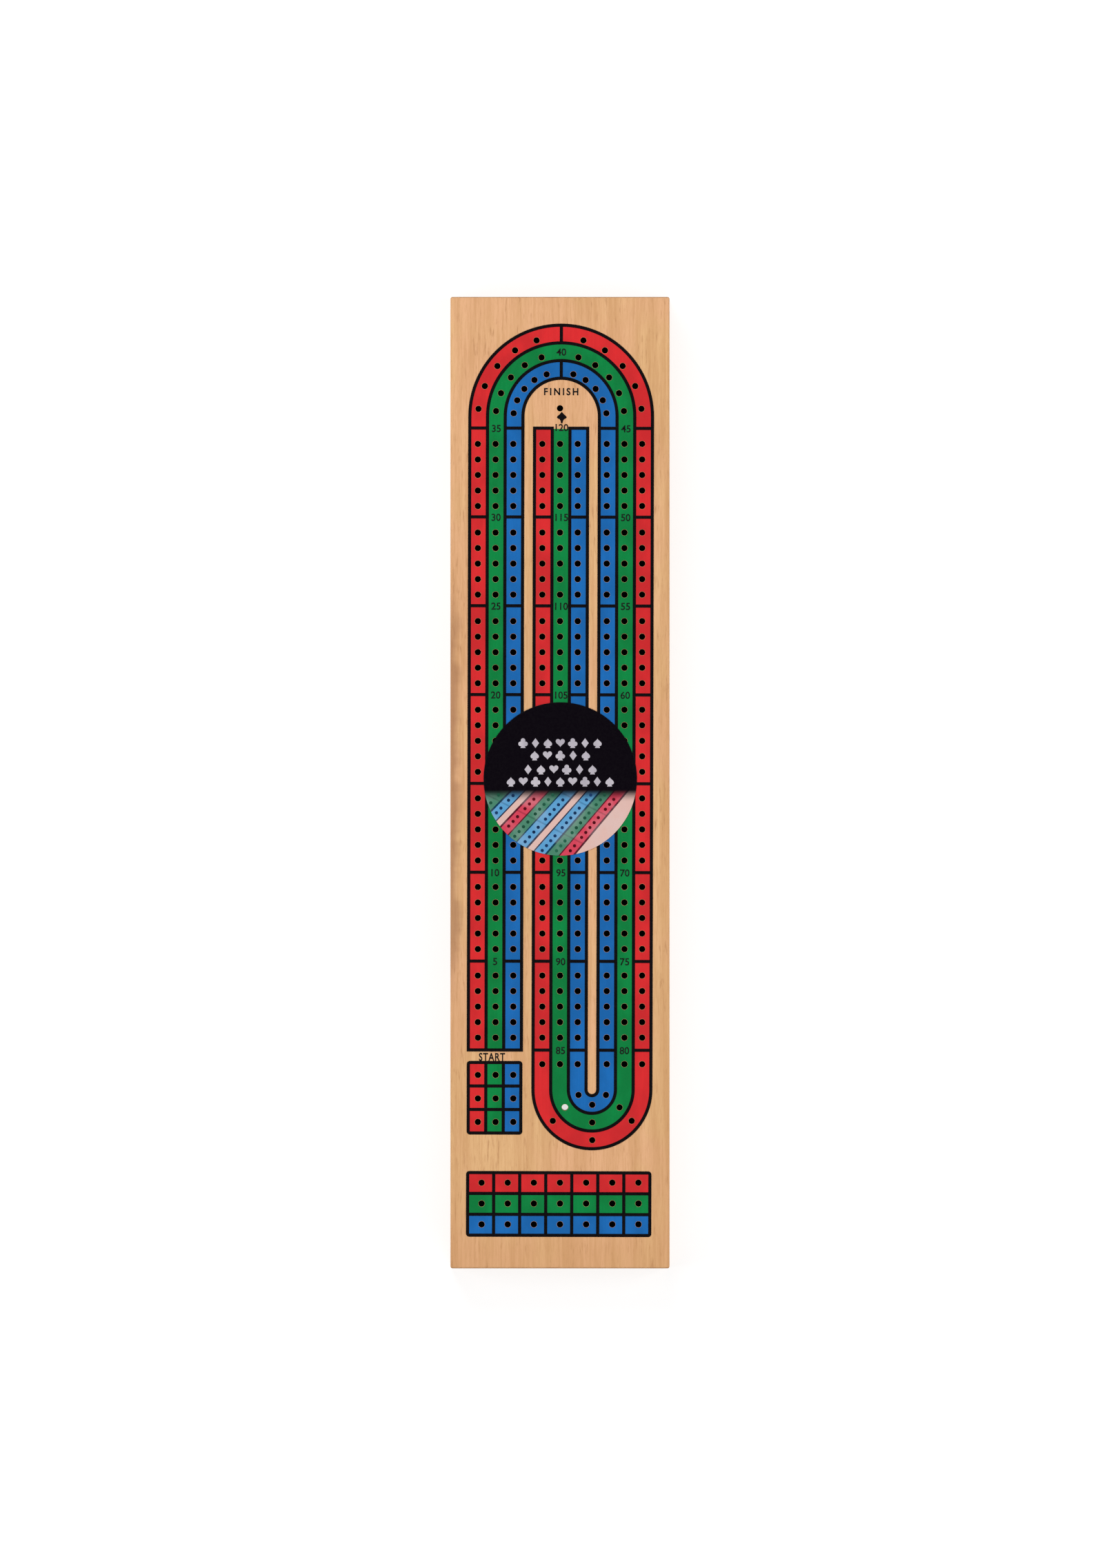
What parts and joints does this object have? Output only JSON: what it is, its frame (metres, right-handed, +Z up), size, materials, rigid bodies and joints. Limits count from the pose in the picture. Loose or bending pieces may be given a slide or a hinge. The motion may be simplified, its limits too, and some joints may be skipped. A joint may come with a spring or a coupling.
{
  "type": "cribbage board",
  "caption": "Long wooden cribbage board with a printed spiral track of coloured lanes, drilled peg holes and a peg compartment with a sliding door underneath.",
  "frame": {"origin": "centre of the board's underside", "axes": "+Z up out of the printed face, +Y along the board towards the finish hole, +X across the board to the right when the finish end is away from the viewer"},
  "size_m": [0.083, 0.368, 0.0163],
  "materials": {
    "beech": "clear satin varnish on pale beech",
    "red_ink": "opaque satin screen-print ink",
    "green_ink": "opaque satin screen-print ink",
    "blue_ink": "opaque satin screen-print ink",
    "black_ink": "opaque satin screen-print ink",
    "label_paper": "printed, varnished label paper",
    "steel": "brushed along its length",
    "red_plastic": "moulded, glossy",
    "green_plastic": "moulded, glossy",
    "blue_plastic": "moulded, glossy"
  },
  "bodies": {
    "board": {"board": "beech", "print_red": "red_ink", "print_green": "green_ink", "print_blue": "blue_ink", "print_black": "black_ink", "round_label": "label_paper"},
    "door": {"compartment_door": "steel"},
    "red_peg_1": {"red_peg_1": "red_plastic"},
    "red_peg_2": {"red_peg_2": "red_plastic"},
    "red_peg_3": {"red_peg_3": "red_plastic"},
    "green_peg_1": {"green_peg_1": "green_plastic"},
    "green_peg_2": {"green_peg_2": "green_plastic"},
    "green_peg_3": {"green_peg_3": "green_plastic"},
    "blue_peg_1": {"blue_peg_1": "blue_plastic"},
    "blue_peg_2": {"blue_peg_2": "blue_plastic"},
    "blue_peg_3": {"blue_peg_3": "blue_plastic"}
  },
  "joints": [
    {"name": "door_slide", "type": "slide", "parent": "board", "child": "door", "axis": [0, 1, 0], "range_m": [0, 0.06]},
    {"name": "red_peg_1_play", "type": "slide", "parent": "board", "child": "red_peg_1", "axis": [0, 1, 0], "range_m": [-0.0045, 0.0045]},
    {"name": "red_peg_2_play", "type": "slide", "parent": "board", "child": "red_peg_2", "axis": [0, 1, 0], "range_m": [-0.0045, 0.0045]},
    {"name": "red_peg_3_play", "type": "slide", "parent": "board", "child": "red_peg_3", "axis": [0, 1, 0], "range_m": [-0.0045, 0.0045]},
    {"name": "green_peg_1_play", "type": "slide", "parent": "board", "child": "green_peg_1", "axis": [0, 1, 0], "range_m": [-0.0045, 0.0045]},
    {"name": "green_peg_2_play", "type": "slide", "parent": "board", "child": "green_peg_2", "axis": [0, 1, 0], "range_m": [-0.0045, 0.0045]},
    {"name": "green_peg_3_play", "type": "slide", "parent": "board", "child": "green_peg_3", "axis": [0, 1, 0], "range_m": [-0.0045, 0.0045]},
    {"name": "blue_peg_1_play", "type": "slide", "parent": "board", "child": "blue_peg_1", "axis": [0, 1, 0], "range_m": [-0.0045, 0.0045]},
    {"name": "blue_peg_2_play", "type": "slide", "parent": "board", "child": "blue_peg_2", "axis": [0, 1, 0], "range_m": [-0.0045, 0.0045]},
    {"name": "blue_peg_3_play", "type": "slide", "parent": "board", "child": "blue_peg_3", "axis": [0, 1, 0], "range_m": [-0.0045, 0.0045]}
  ]
}
